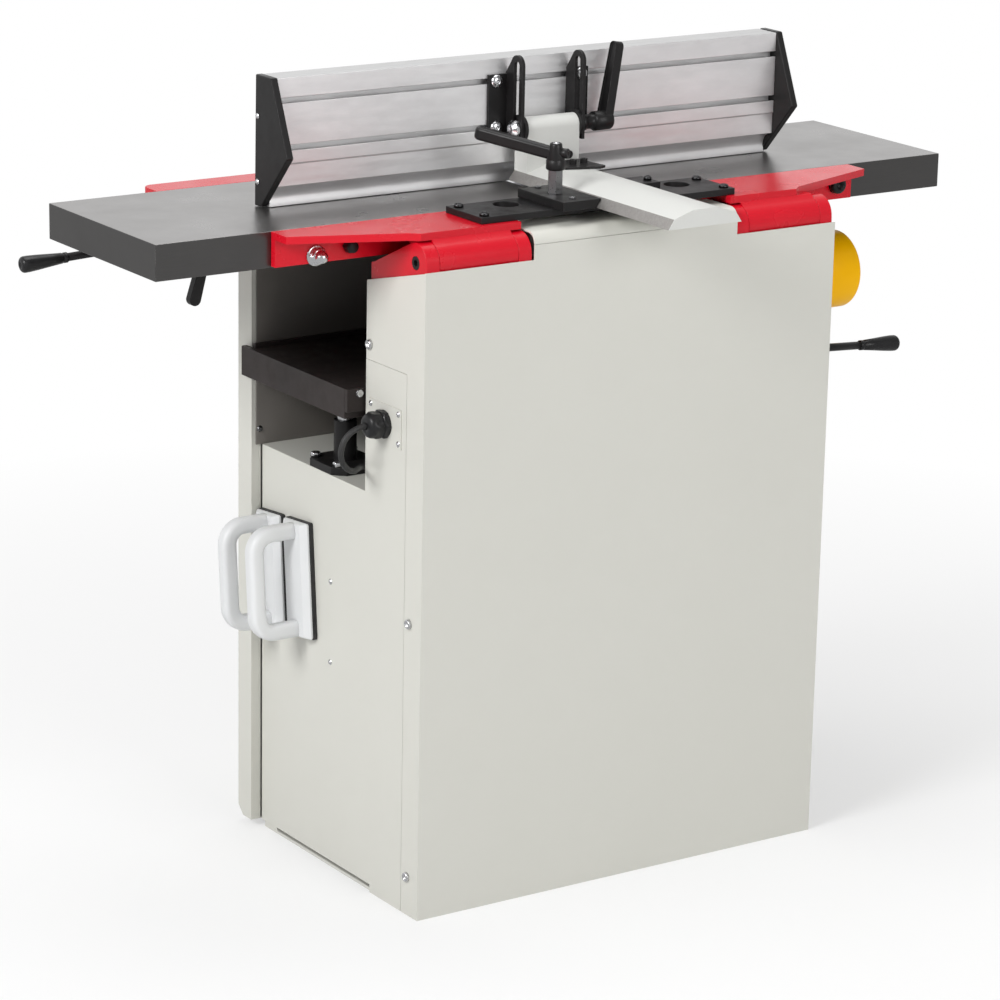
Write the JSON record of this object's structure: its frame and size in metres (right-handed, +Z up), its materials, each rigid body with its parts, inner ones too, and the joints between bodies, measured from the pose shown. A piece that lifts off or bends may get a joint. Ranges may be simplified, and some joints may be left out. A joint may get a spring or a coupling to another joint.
{
  "type": "planer thicknesser",
  "caption": "Floor-standing planer thicknesser with tilting cast iron tables, sliding tilting fence, cutterblock, thicknessing bay with lifting table, dust hood and a lead coiled in the bay.",
  "frame": {"origin": "centre of the four floor anchor holes, on the floor", "axes": "+X along the surfacing tables, from infeed to outfeed, +Y towards the operator, away from the table hinges, +Z up"},
  "size_m": [1.1656, 0.617, 1.0057],
  "materials": {
    "cabinet_paint": "satin",
    "red_paint": "gloss",
    "black_metal": "satin",
    "brown_metal": "satin",
    "motor_paint": "satin",
    "ground_iron": "ground",
    "bed_iron": "as cast",
    "bright_steel": "satin",
    "dark_steel": "blackened",
    "fence_aluminium": "mill",
    "bar_aluminium": "satin",
    "black_plastic": "satin",
    "yellow_plastic": "satin",
    "white_plastic": "satin",
    "green_plastic": "gloss",
    "red_plastic": "gloss",
    "box_plastic": "satin",
    "black_rubber": "matte"
  },
  "bodies": {
    "cabinet": {"base_frame": "cabinet_paint", "rear_panel": "cabinet_paint", "left_side_panel": "cabinet_paint", "right_side_panel": "cabinet_paint", "front_cover": "cabinet_paint", "shelf_plate": "cabinet_paint", "bay_walls": "cabinet_paint", "centre_cover": "cabinet_paint", "bed_castings": "bed_iron", "hinge_ears": "red_paint", "hinge_pins": "bright_steel", "cutter_bearings": "bright_steel", "motor": "motor_paint", "drive_belt": "black_rubber", "guide_columns": "black_metal", "cable_gland": "black_plastic", "mains_cord": "black_rubber", "cord_coil": "black_rubber", "plug": "black_rubber", "switch_box": "box_plastic", "panel_screws": "bright_steel", "kickback_shaft": "bright_steel"},
    "tables": {"outfeed_table": "ground_iron", "outfeed_bracket": "red_paint", "infeed_bracket": "red_paint", "bridge_plate": "black_metal", "table_screws": "black_metal", "clamp_block": "black_metal", "clamp_stud": "dark_steel"},
    "infeed": {"infeed_table": "ground_iron", "latch_rail": "red_paint"},
    "lock_lever": {"infeed_lock_lever": "black_plastic"},
    "height_lever": {"height_lever": "black_plastic"},
    "carriage": {"fence_bar": "bar_aluminium", "rear_guard": "black_metal"},
    "clamp_lever": {"fence_clamp_lever": "black_plastic"},
    "tilt_bolt": {"pivot_bolt": "bright_steel"},
    "tilt_lever": {"tilt_lever": "black_plastic"},
    "fence": {"slotted_brackets": "black_metal", "fence_profile": "fence_aluminium", "fence_end_plates": "black_plastic", "fence_bolts": "bright_steel"},
    "thicknesser": {"thicknesser_table": "brown_metal", "table_side_rails": "black_metal", "guide_rods": "bright_steel"},
    "lifting_screw": {"lifting_screw": "bright_steel"},
    "handwheel": {"handwheel": "black_metal"},
    "hood": {"dust_hood": "black_plastic", "dust_port": "yellow_plastic"},
    "cutter": {"cutterblock": "bright_steel", "cutter_knives": "bright_steel"},
    "motor_rotor": {"motor_pulley": "bright_steel"},
    "infeed_roller": {"infeed_roller": "bright_steel"},
    "outfeed_roller": {"outfeed_roller": "bright_steel"},
    "fingers": {"kickback_fingers": "dark_steel"},
    "feed_lever": {"feed_lever": "black_plastic"},
    "start_button": {"start_button": "green_plastic"},
    "stop_button": {"stop_button": "red_plastic"},
    "near_block": {"near_push_block": "white_plastic"},
    "far_block": {"far_push_block": "white_plastic"}
  },
  "joints": [
    {"name": "tables_tilt", "type": "hinge", "parent": "cabinet", "child": "tables", "pos_m": [0, -0.175, 0.801], "axis": [1, 0, 0], "range_deg": [0, 90]},
    {"name": "infeed_height", "type": "slide", "parent": "tables", "child": "infeed", "axis": [0, 0, 1], "range_m": [-0.004, 0]},
    {"name": "infeed_lock", "type": "hinge", "parent": "infeed", "child": "lock_lever", "pos_m": [-0.436, 0.06, 0.771], "axis": [0, 1, 0], "range_deg": [-30, 30]},
    {"name": "height_lever_swing", "type": "hinge", "parent": "infeed", "child": "height_lever", "pos_m": [-0.4, 0.188, 0.772], "axis": [0, 1, 0], "range_deg": [-16, 1]},
    {"name": "fence_slide", "type": "slide", "parent": "tables", "child": "carriage", "axis": [0, 1, 0], "range_m": [-0.03, 0.1]},
    {"name": "fence_clamp", "type": "hinge", "parent": "tables", "child": "clamp_lever", "pos_m": [-0.0765, -0.138, 0.883], "axis": [0, 0, 1], "range_deg": [-20, 40]},
    {"name": "fence_tilt", "type": "hinge", "parent": "carriage", "child": "tilt_bolt", "pos_m": [-0.006, -0.0165, 0.909], "axis": [1, 0, 0], "range_deg": [0, 45]},
    {"name": "fence_slot", "type": "slide", "parent": "tilt_bolt", "child": "fence", "axis": [0, 0, -1], "range_m": [0, 0.04]},
    {"name": "tilt_lock", "type": "hinge", "parent": "tilt_bolt", "child": "tilt_lever", "pos_m": [0.06, -0.0165, 0.909], "axis": [1, 0, 0], "range_deg": [-5, 75]},
    {"name": "handwheel_turn", "type": "hinge", "parent": "cabinet", "child": "handwheel", "pos_m": [0, 0.2, 0.44], "axis": [0, 1, 0], "range_deg": [-144, 1260]},
    {"name": "thickness_feed", "type": "slide", "parent": "cabinet", "child": "thicknesser", "axis": [0, 0, 1], "range_m": [-0.0355, 0.0045]},
    {"name": "lifting_screw_turn", "type": "hinge", "parent": "cabinet", "child": "lifting_screw", "pos_m": [0, 0.046, 0.5], "axis": [0, 0, 1], "range_deg": [-150, 1266]},
    {"name": "hood_pull", "type": "slide", "parent": "thicknesser", "child": "hood", "axis": [1, 0, 0], "range_m": [0, 0.25]},
    {"name": "cutter_spin", "type": "hinge", "parent": "cabinet", "child": "cutter", "pos_m": [0, 0, 0.7985], "axis": [0, 1, 0], "continuous": true},
    {"name": "motor_spin", "type": "hinge", "parent": "cabinet", "child": "motor_rotor", "pos_m": [0, 0, 0.21], "axis": [0, 1, 0], "continuous": true},
    {"name": "infeed_roller_spin", "type": "hinge", "parent": "cabinet", "child": "infeed_roller", "pos_m": [0.064, 0, 0.778], "axis": [0, 1, 0], "continuous": true},
    {"name": "outfeed_roller_spin", "type": "hinge", "parent": "cabinet", "child": "outfeed_roller", "pos_m": [-0.064, 0, 0.778], "axis": [0, 1, 0], "continuous": true},
    {"name": "fingers_swing", "type": "hinge", "parent": "cabinet", "child": "fingers", "pos_m": [0.112, 0, 0.776], "axis": [0, 1, 0], "range_deg": [-5, 60]},
    {"name": "feed_engage", "type": "hinge", "parent": "cabinet", "child": "feed_lever", "pos_m": [0.27, -0.142, 0.622], "axis": [0, 1, 0], "range_deg": [-12, 12]},
    {"name": "start_press", "type": "slide", "parent": "cabinet", "child": "start_button", "axis": [0, -1, 0], "range_m": [0, 0.004], "stiffness_N_per_m": 500},
    {"name": "stop_press", "type": "slide", "parent": "cabinet", "child": "stop_button", "axis": [0, -1, 0], "range_m": [0, 0.004], "stiffness_N_per_m": 500},
    {"name": "near_block_off", "type": "slide", "parent": "cabinet", "child": "near_block", "axis": [-1, 0, 0], "range_m": [0, 0.1]},
    {"name": "far_block_off", "type": "slide", "parent": "cabinet", "child": "far_block", "axis": [-1, 0, 0], "range_m": [0, 0.1]}
  ],
  "couplings": [
    {"joint": "height_lever_swing", "follows": "infeed_height", "rad_per_m": 65},
    {"joint": "fence_slot", "follows": "fence_tilt", "m_per_rad": 0.045},
    {"joint": "thickness_feed", "follows": "handwheel_turn", "m_per_rad": -0.0015915},
    {"joint": "lifting_screw_turn", "follows": "handwheel_turn", "ratio": 1},
    {"joint": "motor_spin", "follows": "cutter_spin", "ratio": 0.55263},
    {"joint": "outfeed_roller_spin", "follows": "infeed_roller_spin", "ratio": 1}
  ]
}
